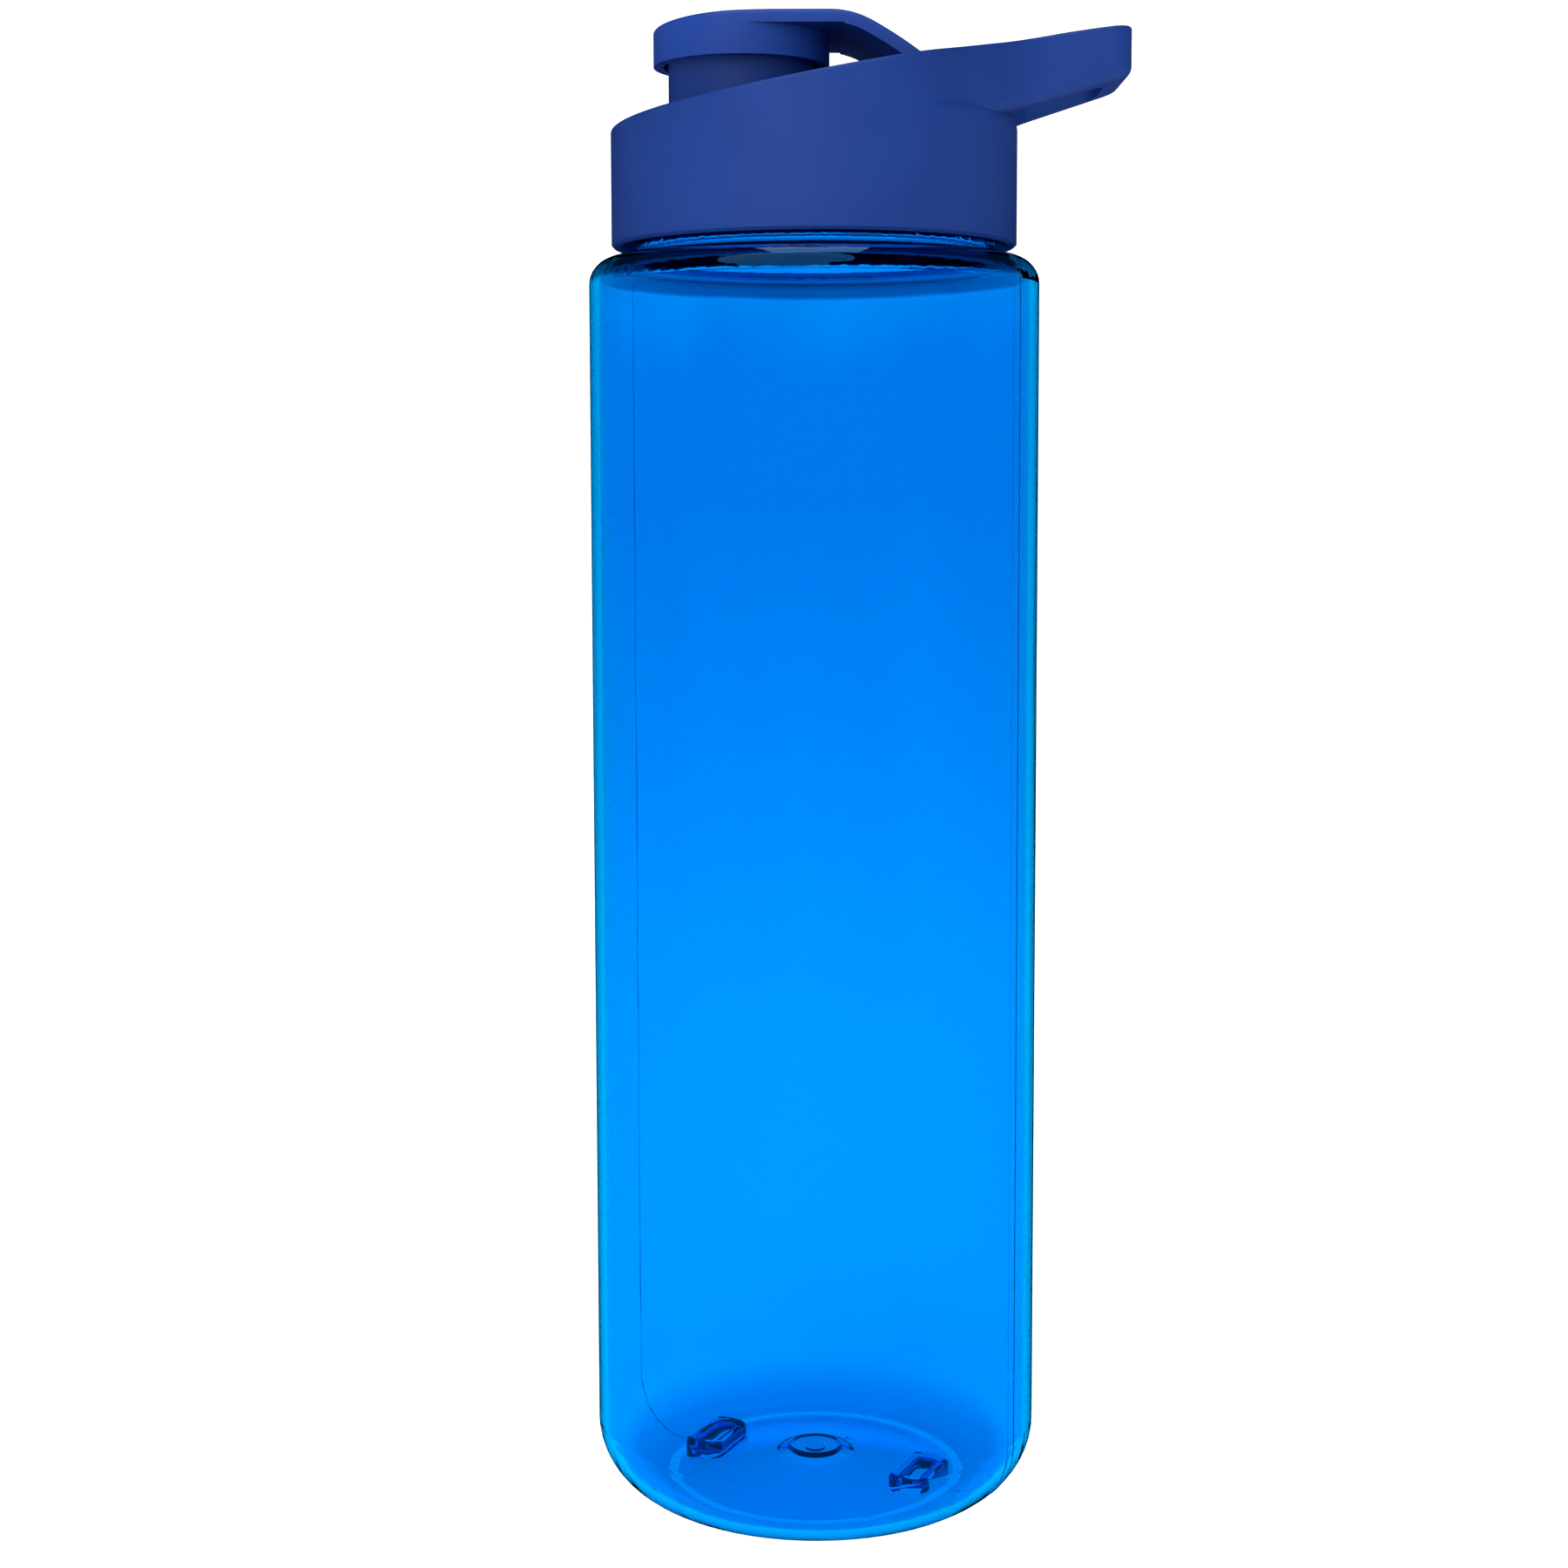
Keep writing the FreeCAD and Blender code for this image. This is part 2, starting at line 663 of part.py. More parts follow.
def make_cap():
    """The flip cap: a round head over the spout and an arm that curves down to the hinge barrel."""
    body = new_body("flip_cap")
    side = new_sketch(body, "cap_side", "XZ_Plane")
    end_run = "(-spout_run - cap_radius - past)"
    end_drop = f"(cap_dome_radius - sqrt(cap_dome_radius ^ 2 - (cap_flat_start - {end_run}) ^ 2))"
    head_end = "(cap_radius - spout_run)"
    under_bend = "(bend_radius - arm_thickness)"
    bend_end_run = f"(cap_flat_end + {under_bend} * sin(bend_lean * 1deg))"
    bend_end_height = f"({CAP_CEILING} - {under_bend} * (1 - cos(bend_lean * 1deg)))"
    head_end_rise = f"sqrt({under_bend} ^ 2 - ({head_end} - cap_flat_end) ^ 2)"
    head_end_height = f"({CAP_CEILING} - {under_bend} + {head_end_rise})"
    under_arm = "(arm_radius - arm_thickness)"
    under_end_run = f"({bend_end_run} + {under_arm} * (sin(arm_under_lean * 1deg) - sin(bend_lean * 1deg)))"
    under_end_drop = f"{under_arm} * (cos(bend_lean * 1deg) - cos(arm_under_lean * 1deg))"
    under_end_height = f"({bend_end_height} - {under_end_drop})"
    outline(side, [
        (end_run, "cap_bottom"),
        (head_end, "cap_bottom"),
        (head_end, head_end_height, under_bend, -1),
        (bend_end_run, bend_end_height, under_arm, -1),
        (under_end_run, under_end_height),
        (HINGE_RUN, HINGE_HEIGHT),
        (ARM_RUN, ARM_HEIGHT, "arm_radius", 1),
        (BEND_RUN, BEND_HEIGHT, "bend_radius", 1),
        ("cap_flat_end", "cap_top"),
        ("cap_flat_start", "cap_top", "cap_dome_radius", 1),
        (end_run, f"cap_top - {end_drop}"),
    ])
    pad(body, side, "cap_block", "2 * cap_radius", symmetric=True)
    doc.recompute()

    ends = new_sketch(body, "cap_round_end", "XY_Plane", "cap_top + past")
    outline(ends, round_head("-spout_run - cap_radius", "-", 1))
    end_cut = pocket(body, ends, "cap_end", "cap_top - cap_bottom + 2 * past")
    must_cut(body, end_cut, 100)

    def on_top(face):
        return face_normal(face).z > FACING

    def on_side(face):
        return abs(face_normal(face).z) < 0.1 and face.BoundBox.ZMax > value(CAP_CEILING)

    upper = edges_between(end_cut, on_top, on_side)
    fillet(body, end_cut, "cap_edge", upper, "cap_edge")

    # The head is round below the arm too, and hollow from below.
    inner_end = new_sketch(body, "head_round_end", "XY_Plane", "cap_bottom - past")
    outline(inner_end, round_head(head_end, "+", -1))
    inner_cut = pocket(body, inner_end, "head_end", f"{CAP_CEILING} - cap_bottom + past", upward=True)
    must_cut(body, inner_cut, 50)
    head = new_sketch(body, "head_plan", "XY_Plane", "cap_bottom - past")
    disc(head, "-spout_run", "0", "cap_hollow_radius")
    head_cut = pocket(body, head, "head_hollow", f"{CAP_CEILING} - cap_bottom + past", upward=True)
    must_cut(body, head_cut, 1000)
    boss = new_sketch(body, "boss_plan", "XY_Plane", "boss_bottom")
    boss_run = f"{CAP_CEILING} - boss_bottom + bite"
    pad(body, disc(boss, "-spout_run", "0", "boss_radius"), "seal_boss", boss_run)
    barrel = disc(new_sketch(body, "barrel_end", "XZ_Plane"), HINGE_RUN, HINGE_HEIGHT, "barrel_radius")
    pad(body, barrel, "barrel", "2 * (cap_radius - barrel_inset)", symmetric=True)
    eye = disc(new_sketch(body, "barrel_eye", "XZ_Plane"),
               HINGE_RUN, HINGE_HEIGHT, "pin_radius + pin_clearance")
    eye_cut = pocket(body, eye, "barrel_bore", "4 * cap_radius", symmetric=True)
    must_cut(body, eye_cut, 10)

    return body


def round_head(end, outwards, turn):
    """Plan of what a straight block has outside the cap's round head, on the side of the given end."""
    beyond = f"{end} {outwards} past"
    return [
        ("-spout_run", "cap_radius", "cap_radius", turn),
        (end, "0", "cap_radius", turn),
        ("-spout_run", "-cap_radius"),
        ("-spout_run", "-cap_radius - past"),
        (beyond, "-cap_radius - past"),
        (beyond, "cap_radius + past"),
        ("-spout_run", "cap_radius + past"),
    ]


def make_seal():
    """Silicone stopper on the cap's boss: a flange over the spout's lip and a tapered plug."""
    body = new_body("spout_seal")
    profile = new_sketch(body, "seal_profile", "XZ_Plane")
    outline(profile, [
        ("0", "seal_bottom"),
        ("seal_tip - seal_round", "seal_bottom", "seal_round", 1),
        ("seal_tip", "seal_bottom + seal_round"),
        ("seal_neck", "spout_top + seal_gap"),
        ("seal_flange", "spout_top + seal_gap"),
        ("seal_flange", CAP_CEILING),
        ("boss_radius", CAP_CEILING),
        ("boss_radius", "boss_bottom"),
        ("0", "boss_bottom"),
    ])
    bind(profile, ".AttachmentOffset.Base.x", "-spout_run")
    revolve(body, profile, "seal")
    return body


def make_pin():
    """Stainless hinge pin, pressed into the lugs."""
    body = new_body("hinge_pin")
    section = disc(new_sketch(body, "pin_section", "XZ_Plane"), HINGE_RUN, HINGE_HEIGHT, "pin_radius")
    pad(body, section, "pin", "pin_length", symmetric=True)
    return body


def make_gasket():
    """Flat silicone washer between the neck's rim and the deck."""
    body = new_body("lid_gasket")
    profile = new_sketch(body, "gasket_profile", "XZ_Plane")
    outline(profile, [
        ("gasket_inner", "rim_height + gasket_gap"),
        ("gasket_outer", "rim_height + gasket_gap"),
        ("gasket_outer", "deck_under - gasket_gap"),
        ("gasket_inner", "deck_under - gasket_gap"),
    ])
    revolve(body, profile, "gasket")
    return body


def check(parts):
    """Stop if any object failed or any part isn't one sound solid."""
    doc.recompute()
    for thing in doc.Objects:
        if {"Invalid", "Error"} & set(thing.State):
            raise RuntimeError(f"{thing.Name}: {thing.State}")
    for part in parts:
        shape = part.Shape
        if shape.isNull() or not shape.isValid() or len(shape.Solids) != 1:
            raise RuntimeError(f"{part.Label} isn't one valid solid")


def main():
    parts = [make_bottle(), make_lid(), make_cap(), make_seal(), make_pin(), make_gasket()]
    check(parts)
    os.makedirs("parts", exist_ok=True)
    for part in parts:
        part.Shape.exportStep(f"parts/{part.Label}.step")
        box = part.Shape.BoundBox
        print(f"{part.Label:12s} {part.Shape.Volume:10.1f} mm3  z {box.ZMin:.2f} to {box.ZMax:.2f}")


main()
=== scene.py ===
"""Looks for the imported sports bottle: finishes, mould parting lines, studio and camera. Metres, row frame."""

import math

import bmesh
import bpy
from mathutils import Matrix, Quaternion, Vector


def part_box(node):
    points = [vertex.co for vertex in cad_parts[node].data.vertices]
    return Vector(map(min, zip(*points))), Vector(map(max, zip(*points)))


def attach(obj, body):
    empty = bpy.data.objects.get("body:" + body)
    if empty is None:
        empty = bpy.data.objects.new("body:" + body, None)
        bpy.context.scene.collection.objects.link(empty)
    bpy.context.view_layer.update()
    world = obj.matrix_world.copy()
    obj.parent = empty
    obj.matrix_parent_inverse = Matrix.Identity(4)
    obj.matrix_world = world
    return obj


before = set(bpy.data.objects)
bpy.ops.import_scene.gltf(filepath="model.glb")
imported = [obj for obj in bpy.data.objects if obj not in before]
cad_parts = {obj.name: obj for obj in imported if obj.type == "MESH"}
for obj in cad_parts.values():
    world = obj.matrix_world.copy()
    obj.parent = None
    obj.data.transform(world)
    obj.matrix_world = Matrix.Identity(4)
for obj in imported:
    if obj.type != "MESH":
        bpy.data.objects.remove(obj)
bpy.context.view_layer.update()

BOTTLE_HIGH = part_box("bottle_body")[1]
BOTTLE_TOP = BOTTLE_HIGH.z
BODY_RADIUS = BOTTLE_HIGH.y

# Colours, linear light. A wall's tint is the part of the light that one pass through its two faces keeps. The
# shoulder and standing-ring colours are painted shade, not tint.
WALL_HEEL = (0.0, 0.54, 1.0)
WALL_MIDDLE = (0.0, 0.505, 0.86)
WALL_UPPER = (0.0, 0.405, 0.78)
WALL_TOP = (0.0, 0.475, 0.84)
# Painted shade: a dark navy put on the shoulder's round in place of the darkness the curved wall refracts and
# reflects there.
SHOULDER_PAINTED_SHADE = (0.0, 0.15, 0.34)
# Painted shade: a darker blue on the standing ring and heel, for the dark streaks that the thick heel refracts.
HEEL_PAINTED_SHADE = (0.0, 0.40, 0.85)
WALL_GLOSS = (0.03, 0.35, 1.0)
WALL_DEPTH = (0.0, 0.88, 1.0)
WALL_DENSITY = 600.0
SEAM_BLUE = (0.0, 0.16, 0.62)
LID_BLUE = (0.0060, 0.0330, 0.198)
LID_BLUE_PALE = (0.0075, 0.0385, 0.220)
LID_BLUE_DEEP = (0.0045, 0.0280, 0.176)
LID_BRIGHTNESS = 1.0
# Painted light: the cap's blues are lifted to make up for the light it loses in the lid's shade, so the same
# plastic is paler on the cap.
CAP_PAINTED_LIGHT_LIFT = 1.35
SILICONE = (0.030, 0.075, 0.240)
STEEL = (0.62, 0.63, 0.65)
PAPER = (0.80, 0.805, 0.81)
WHITE = (1.0, 1.0, 1.0, 1.0)

POLYESTER_IOR = 1.54
POLYPROPYLENE_IOR = 1.49
SILICONE_IOR = 1.41

# The wall's tint against height, as parts of the bottle's height, and how far clouds shift it.
TINT_STOPS = (
    (0.08, WALL_HEEL),
    (0.45, WALL_MIDDLE),
    (0.82, WALL_UPPER),
    (0.94, WALL_UPPER),
    (1.0, WALL_TOP),
)
TINT_DRIFT = 0.16
BAND_WAVE = 0.0008

# The bottle's outline under the mould's parting lines, with the CAD's own rounds. Metres and degrees.
HEEL_ROUND = 0.0115
SHOULDER_ROUND = 0.0043
SHOULDER_CENTRE = 0.19916
SHOULDER_TOP = SHOULDER_CENTRE + SHOULDER_ROUND
LINE_TURN = -29.0
LINE_START = -84.0
LINE_END = 80.0
LINE_STEPS = 14
LINE_FADE_STEPS = 4.0
LINE_SIDES = 8
LINE_PROUD = 0.00006
LINE_SUNK = 0.00003
FRONT_HALF_WIDTH = 0.00016
BACK_HALF_WIDTH = 0.00008

# Studio. The roof's start and end are heights on the unit sphere of directions.
AIR_STRENGTH = 1.45
ROOF_STRENGTH = 0.05
ROOF_START = 0.12
ROOF_END = 0.42
FLOOR_RADIUS = 12.0
FLOOR_SEGMENTS = 96
FLOOR_GLOW = 1.02
SUN_TOWARDS = (-0.25, -0.8, 0.75)
SUN_STRENGTH = 2.0
SUN_SPREAD = 60.0
LAMP_PLACE = (0.0, -0.1, 0.95)
LAMP_TARGET = (0.0, 0.0, 0.2)
LAMP_SIZE = 0.4
LAMP_POWER = 2.0

# Camera.
CAMERA_PLACE = (-0.00503, -0.4047, 0.1676)
CAMERA_PITCH = 5.1
CAMERA_LENS = 56.5
CAMERA_SENSOR = 36.0
CAMERA_SHIFT_Y = -0.053
CAMERA_ROLL = -0.13
CAMERA_NEAR = 0.01
CAMERA_FAR = 20.0


# ---------- node helpers ----------

def material(name):
    """A new material with one Principled shader and its output."""
    made = bpy.data.materials.new(name)
    made.use_nodes = True
    nodes = made.node_tree.nodes
    nodes.clear()
    output = nodes.new("ShaderNodeOutputMaterial")
    shader = nodes.new("ShaderNodeBsdfPrincipled")
    made.node_tree.links.new(shader.outputs[0], output.inputs["Surface"])
    return made, shader


def preset(shader, values):
    """Set constants on the shader's own sockets."""
    for name, value in values.items():
        shader.inputs[name].default_value = value


def node(made, kind, **settings):
    """A new node, with each setting on the input of that name or else on the node itself."""
    new = made.node_tree.nodes.new(kind)
    for name, value in settings.items():
        if name in new.inputs:
            new.inputs[name].default_value = value
        else:
            setattr(new, name, value)
    return new


def link(made, source, target):
    made.node_tree.links.new(source, target)


def place(made, scale=(1.0, 1.0, 1.0)):
    """Object coordinates stretched by scale, so that a pattern can run along one axis."""
    where = node(made, "ShaderNodeTexCoord")
    stretch = node(made, "ShaderNodeMapping")
    stretch.inputs["Scale"].default_value = scale
    link(made, where.outputs["Object"], stretch.inputs["Vector"])
    return stretch.outputs["Vector"]


def height_in(made):
    """Height above the standing plane, in metres."""
    where = node(made, "ShaderNodeTexCoord")
    split = node(made, "ShaderNodeSeparateXYZ")
    link(made, where.outputs["Object"], split.inputs["Vector"])
    return split.outputs["Z"]


def noise(made, vector, scale, detail, rough=0.5):
    field = node(made, "ShaderNodeTexNoise", Scale=scale, Detail=detail, Roughness=rough)
    link(made, vector, field.inputs["Vector"])
    return field.outputs["Fac"]


def spread(made, value, low, high):
    """Maps a 0 to 1 value to the range low to high."""
    mapped = node(made, "ShaderNodeMapRange")
    mapped.inputs["To Min"].default_value = low
    mapped.inputs["To Max"].default_value = high
    link(made, value, mapped.inputs["Value"])
    return mapped.outputs["Result"]


def shifted(made, base, value, amount):
    """The base plus the value times the amount."""
    sum_node = node(made, "ShaderNodeMath", operation="MULTIPLY_ADD")
    sum_node.inputs[1].default_value = amount
    link(made, value, sum_node.inputs[0])
    link(made, base, sum_node.inputs[2])
    return sum_node.outputs["Value"]


def ramp(made, value, stops):
    """A colour that runs through the stops as the value grows."""
    colours = node(made, "ShaderNodeValToRGB")
    elements = colours.color_ramp.elements
    while len(elements) < len(stops):
        elements.new(0.5)
    for element, (position, colour) in zip(elements, stops):
        element.position = position
        element.color = (*colour, 1.0)
    link(made, value, colours.inputs["Fac"])
    return colours.outputs["Color"]


def band(made, value, start, end):
    """0 up to start, 1 from end on, smooth between."""
    step = node(made, "ShaderNodeMapRange", interpolation_type="SMOOTHSTEP")
    step.inputs["From Min"].default_value = start
    step.inputs["From Max"].default_value = end
    link(made, value, step.inputs["Value"])
    return step.outputs["Result"]


def blend(made, factor, colour, other):
    """The colour, turned into the other one where the factor is 1."""
    mix = node(made, "ShaderNodeMix", data_type="RGBA")
    factor_in, colour_in, other_in, colour_out = 0, 6, 7, 2
    link(made, factor, mix.inputs[factor_in])
    link(made, colour, mix.inputs[colour_in])
    mix.inputs[other_in].default_value = (*other, 1.0)
    return mix.outputs[colour_out]


def bump(made, shader, height, strength, distance):
    relief = node(made, "ShaderNodeBump", Strength=strength, Distance=distance)
    link(made, height, relief.inputs["Height"])
    link(made, relief.outputs["Normal"], shader.inputs["Normal"])


def shade(colour, factor):
    return tuple(part * factor for part in colour)


# ---------- finishes, with shade painted on the clear wall ---

def shoulder_shade_mask(made, height, clouds):
    """1 on the shoulder's round, 0 on the wall below it and on the neck above it: where the dark painted shade
    goes.
    """
    wavy = shifted(made, height, clouds, BAND_WAVE)
    above_wall = band(made, wavy, SHOULDER_CENTRE + 0.0006, SHOULDER_CENTRE + 0.0014)
    above_round = band(made, height, SHOULDER_TOP - 0.0002, SHOULDER_TOP + 0.0004)
    between = node(made, "ShaderNodeMath", operation="SUBTRACT", use_clamp=True)
    link(made, above_wall, between.inputs[0])
    link(made, above_round, between.inputs[1])
    return between.outputs["Value"]


def heel_shade_mask(made, height, clouds):
    """1 at the standing ring, fading out up the heel: where the darker painted shade goes."""
    wavy = shifted(made, height, clouds, BAND_WAVE)
    return band(made, wavy, HEEL_ROUND * 0.75, HEEL_ROUND * 0.2)


def wall_tint_and_painted_shade(made, clouds):
    """Deeper towards the top, with painted shade: a dark band on the shoulder and a darker heel at the standing
    ring.
    """
    height = height_in(made)
    part_way = node(made, "ShaderNodeMapRange")
    part_way.inputs["From Max"].default_value = BOTTLE_TOP
    link(made, height, part_way.inputs["Value"])
    tint = ramp(made, shifted(made, part_way.outputs["Result"], clouds, TINT_DRIFT), TINT_STOPS)
    # Painted shade: the standing ring and heel get a darker blue in place of their tint.
    tint = blend(made, heel_shade_mask(made, height, clouds), tint, HEEL_PAINTED_SHADE)
    # Painted shade: the shoulder's round gets the dark navy in place of its tint.
    return blend(made, shoulder_shade_mask(made, height, clouds), tint, SHOULDER_PAINTED_SHADE)


def clear_plastic(name):
    """Tinted clear copolyester: polished, with faint upright streaks, a tint that changes with height, and
    painted shade on the shoulder and the heel.
    """
    made, shader = material(name)
    streaks = noise(made, place(made, (1.0, 1.0, 0.06)), 160.0, 3.0)
    clouds = noise(made, place(made, (1.0, 1.0, 0.12)), 70.0, 2.0)
    preset(shader, {
        "Transmission Weight": 1.0,
        "IOR": POLYESTER_IOR,
        "Specular Tint": (*WALL_GLOSS, 1.0),
    })
    link(made, wall_tint_and_painted_shade(made, clouds), shader.inputs["Base Color"])
    link(made, spread(made, streaks, 0.008, 0.03), shader.inputs["Roughness"])
    bump(made, shader, streaks, 0.05, 0.0004)
    depth = node(made, "ShaderNodeVolumeAbsorption", Color=(*WALL_DEPTH, 1.0), Density=WALL_DENSITY)
    output = made.node_tree.get_output_node("ALL")
    link(made, depth.outputs["Volume"], output.inputs["Volume"])
    return made


def seam_plastic(name):
    """The parting line's own finish: the wall's plastic, darker and less polished."""
    made, shader = material(name)
    uneven = noise(made, place(made), 260.0, 2.0)
    stops = ((0.3, shade(SEAM_BLUE, 0.8)), (0.7, SEAM_BLUE))
    preset(shader, {"Transmission Weight": 0.8, "IOR": POLYESTER_IOR})
    link(made, ramp(made, uneven, stops), shader.inputs["Base Color"])
    link(made, spread(made, uneven, 0.15, 0.3), shader.inputs["Roughness"])
    bump(made, shader, uneven, 0.1, 0.00002)
    return made


def moulded_plastic(name, light_lift):
    """Opaque blue polypropylene: satin, fine spark-eroded grain, colour a little uneven. The colours are scaled
    by the given factor; above 1 that is painted light.
    """
    made, shader = material(name)
    space = place(made)
    clouds = noise(made, space, 45.0, 3.0)
    patches = noise(made, space, 300.0, 3.0)
    grain = noise(made, space, 2600.0, 2.0, 0.6)
    stops = ((0.25, LID_BLUE_DEEP), (0.5, LID_BLUE), (0.8, LID_BLUE_PALE))
    # Painted light where the factor is above 1: the same blues made paler.
    stops = [(position, shade(blue, light_lift)) for position, blue in stops]
    preset(shader, {
        "IOR": POLYPROPYLENE_IOR,
        "Specular IOR Level": 0.18,
        "Subsurface Weight": 0.04,
        "Subsurface Radius": (0.4, 0.6, 1.0),
        "Subsurface Scale": 0.0008,
    })
    link(made, ramp(made, clouds, stops), shader.inputs["Base Color"])
    link(made, spread(made, patches, 0.42, 0.55), shader.inputs["Roughness"])
    bump(made, shader, grain, 0.18, 0.00006)
    return made


def silicone(name):
    """Deep blue silicone: soft, matt, with the light going a little way in."""
    made, shader = material(name)
    space = place(made)
    clouds = noise(made, space, 90.0, 3.0)
    grain = noise(made, space, 1500.0, 2.0)
    stops = ((0.3, shade(SILICONE, 0.93)), (0.7, shade(SILICONE, 1.04)))
    preset(shader, {
        "Transmission Weight": 0.25,
        "IOR": SILICONE_IOR,
        "Subsurface Weight": 0.5,
        "Subsurface Radius": (1.0, 1.0, 1.0),
        "Subsurface Scale": 0.0015,
    })
    link(made, ramp(made, clouds, stops), shader.inputs["Base Color"])
    link(made, spread(made, clouds, 0.38, 0.55), shader.inputs["Roughness"])
    bump(made, shader, grain, 0.12, 0.00005)
    return made


def drawn_steel(name):
    """Stainless wire with fine drawing lines along its length."""
    made, shader = material(name)
    lines = noise(made, place(made, (1.0, 0.03, 1.0)), 6000.0, 2.0)
    stops = ((0.3, shade(STEEL, 0.86)), (0.7, STEEL))
    preset(shader, {"Metallic": 1.0})
    link(made, ramp(made, lines, stops), shader.inputs["Base Color"])
    link(made, spread(made, lines, 0.18, 0.34), shader.inputs["Roughness"])
    bump(made, shader, lines, 0.15, 0.00003)
    return made


def finish_node(name, made):
    """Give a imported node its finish."""
    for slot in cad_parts[name].material_slots:
        slot.material = made


# ---------- parting lines ----------

def arc(centre_radius, centre_height, size, start, end):
    """Points (radius, height) along a round of the outline, between two angles in degrees."""
    points = []
    for i in range(LINE_STEPS + 1):
        turn = math.radians(start + (end - start) * i / LINE_STEPS)
        points.append((centre_radius + size * math.cos(turn), centre_height + size * math.sin(turn)))
    return points


def parting_path():
    """The outside of the bottle, from the standing ring to the top of the shoulder."""
    rise = SHOULDER_CENTRE - HEEL_ROUND
    heel = arc(BODY_RADIUS - HEEL_ROUND, HEEL_ROUND, HEEL_ROUND, LINE_START, 0.0)
    wall = [(BODY_RADIUS, HEEL_ROUND + rise * i / LINE_STEPS) for i in range(1, LINE_STEPS)]
    shoulder = arc(BODY_RADIUS - SHOULDER_ROUND, SHOULDER_CENTRE, SHOULDER_ROUND, 0.0, LINE_END)
    return heel + wall + shoulder


def line_section(build, foot, across, out, half_width, proud):
    """One closed section of the ridge: a low arch on top, its two lower corners sunk into the wall."""
    ring = []
    for k in range(LINE_SIDES):
        sweep = math.pi * k / (LINE_SIDES - 1)
        side = across * (half_width * math.cos(sweep))
        ring.append(build.verts.new(foot + side + out * (proud * math.sin(sweep))))
    ring.append(build.verts.new(foot - across * half_width - out * LINE_SUNK))
    ring.append(build.verts.new(foot + across * half_width - out * LINE_SUNK))
    return ring


def make_parting_line(name, turn, half_width, made):
    """A hair-thin rounded ridge left by the mould's joint, laid on the outside of the wall."""
    path = parting_path()
    last = len(path) - 1
    around = Vector((math.cos(math.radians(turn)), math.sin(math.radians(turn)), 0.0))
    across = Vector((-around.y, around.x, 0.0))
    build = bmesh.new()
    rings = []
    for i, (radius, height) in enumerate(path):
        before = path[max(i - 1, 0)]
        after = path[min(i + 1, last)]
        along = Vector((after[0] - before[0], after[1] - before[1])).normalized()
        out = (around * along.y - Vector((0.0, 0.0, along.x))).normalized()
        foot = around * radius + Vector((0.0, 0.0, height))
        fade = min(1.0, i / LINE_FADE_STEPS, (last - i) / LINE_FADE_STEPS)
        rings.append(line_section(build, foot, across, out, half_width, LINE_PROUD * fade))
    for lower, upper in zip(rings, rings[1:]):
        for k in range(len(lower)):
            j = (k + 1) % len(lower)
            build.faces.new((lower[k], lower[j], upper[j], upper[k]))
    build.faces.new(rings[0][::-1])
    build.faces.new(rings[-1])
    bmesh.ops.recalc_face_normals(build, faces=build.faces)
    for face in build.faces:
        face.smooth = True
    mesh = bpy.data.meshes.new(name)
    build.to_mesh(mesh)
    build.free()
    mesh.materials.append(made)
    line = bpy.data.objects.new(name, mesh)
    bpy.context.scene.collection.objects.link(line)
    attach(line, "bottle")


# ---------- studio ----------

def add_lamp(name, data, turn):
    """Put a lamp in the scene. It isn't seen through the clear wall."""
    lamp = bpy.data.objects.new(name, data)
    lamp.rotation_mode = "QUATERNION"
    lamp.rotation_quaternion = turn
    lamp.visible_transmission = False
    bpy.context.scene.collection.objects.link(lamp)
    return lamp


def make_overhead_lamp():
    """A small square softbox above the lid."""
    data = bpy.data.lights.new("overhead", "AREA")
    data.shape = "RECTANGLE"
    data.size = LAMP_SIZE
    data.size_y = LAMP_SIZE
    data.energy = LAMP_POWER
    turn = (Vector(LAMP_TARGET) - Vector(LAMP_PLACE)).to_track_quat("-Z", "Y")
    add_lamp("overhead", data, turn).location = LAMP_PLACE


def make_daylight():
    """An even, very soft light from the front of the sky."""
    data = bpy.data.lights.new("daylight", "SUN")
    data.energy = SUN_STRENGTH
    data.angle = math.radians(SUN_SPREAD)
    add_lamp("daylight", data, Vector(SUN_TOWARDS).to_track_quat("Z", "Y"))


def make_floor():
    """One pale, softly glowing sheet on the standing plane, hidden from reflections."""
    mesh = bpy.data.meshes.new("studio_floor")
    build = bmesh.new()
    bmesh.ops.create_circle(build, cap_ends=True, segments=FLOOR_SEGMENTS, radius=FLOOR_RADIUS)
    build.to_mesh(mesh)
    build.free()
    floor = bpy.data.objects.new("studio_floor", mesh)
    bpy.context.scene.collection.objects.link(floor)
    made, shader = material("studio_paper")
    clouds = noise(made, place(made), 60.0, 3.0)
    link(made, ramp(made, clouds, ((0.2, shade(PAPER, 0.985)), (0.8, PAPER))), shader.inputs["Base Color"])
    preset(shader, {"Roughness": 0.9, "Emission Color": WHITE, "Emission Strength": FLOOR_GLOW})
    mesh.materials.append(made)
    floor.visible_glossy = False


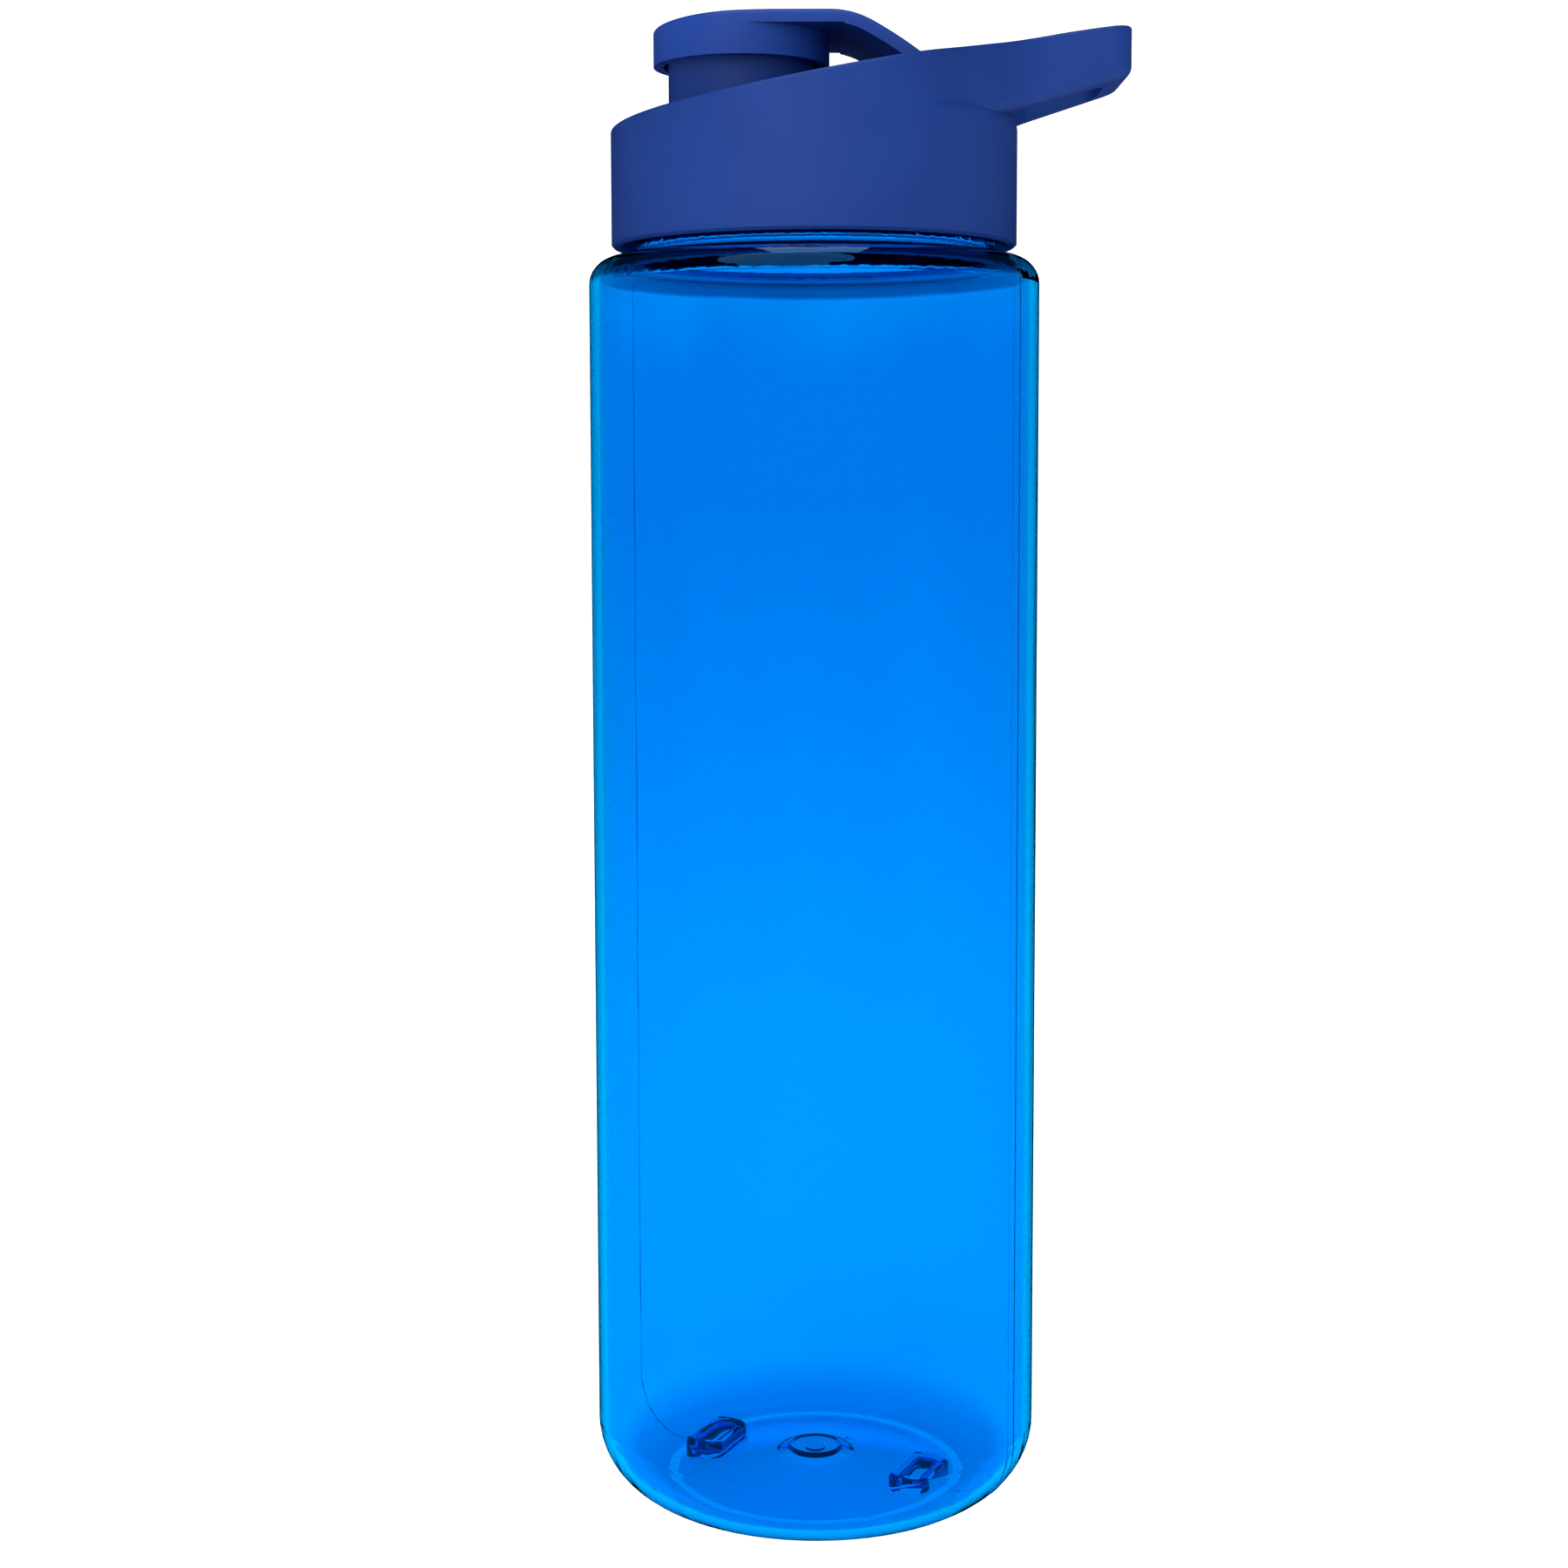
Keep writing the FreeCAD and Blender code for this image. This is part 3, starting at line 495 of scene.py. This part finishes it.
def make_world():
    """White air all round that dims towards the zenith, like a tent with a darker roof."""
    world = bpy.data.worlds.new("studio_air")
    world.use_nodes = True
    tree = world.node_tree
    background = tree.nodes["Background"]
    where = tree.nodes.new("ShaderNodeTexCoord")
    split = tree.nodes.new("ShaderNodeSeparateXYZ")
    roof = tree.nodes.new("ShaderNodeMapRange")
    roof.interpolation_type = "SMOOTHSTEP"
    roof.inputs["From Min"].default_value = ROOF_START
    roof.inputs["From Max"].default_value = ROOF_END
    roof.inputs["To Min"].default_value = AIR_STRENGTH
    roof.inputs["To Max"].default_value = ROOF_STRENGTH
    tree.links.new(where.outputs["Generated"], split.inputs["Vector"])
    tree.links.new(split.outputs["Z"], roof.inputs["Value"])
    tree.links.new(roof.outputs["Result"], background.inputs["Strength"])
    background.inputs["Color"].default_value = WHITE
    world.cycles_visibility.glossy = False
    bpy.context.scene.world = world


def make_camera():
    """The photograph's point of view, rolled by a fraction of a degree."""
    data = bpy.data.cameras.new("camera")
    data.lens = CAMERA_LENS
    data.sensor_width = CAMERA_SENSOR
    data.shift_y = CAMERA_SHIFT_Y
    data.clip_start = CAMERA_NEAR
    data.clip_end = CAMERA_FAR
    camera = bpy.data.objects.new("camera", data)
    camera.location = CAMERA_PLACE
    level = Quaternion((1.0, 0.0, 0.0), math.radians(90.0 - CAMERA_PITCH))
    camera.rotation_mode = "QUATERNION"
    camera.rotation_quaternion = level @ Quaternion((0.0, 0.0, 1.0), math.radians(CAMERA_ROLL))
    bpy.context.scene.collection.objects.link(camera)
    bpy.context.scene.camera = camera


finish_node("bottle_body", clear_plastic("clear_body"))
seam = seam_plastic("seam_plastic")
make_parting_line("parting_line_front", LINE_TURN, FRONT_HALF_WIDTH, seam)
make_parting_line("parting_line_back", LINE_TURN + 180.0, BACK_HALF_WIDTH, seam)
finish_node("screw_lid", moulded_plastic("lid_plastic", LID_BRIGHTNESS))
finish_node("flip_cap", moulded_plastic("cap_plastic", CAP_PAINTED_LIGHT_LIFT))
finish_node("spout_seal", silicone("seal_silicone"))
finish_node("lid_gasket", silicone("gasket_silicone"))
finish_node("hinge_pin", drawn_steel("pin_steel"))

make_world()
make_floor()
make_daylight()
make_overhead_lamp()
make_camera()
bpy.context.scene.view_settings.view_transform = "Standard"
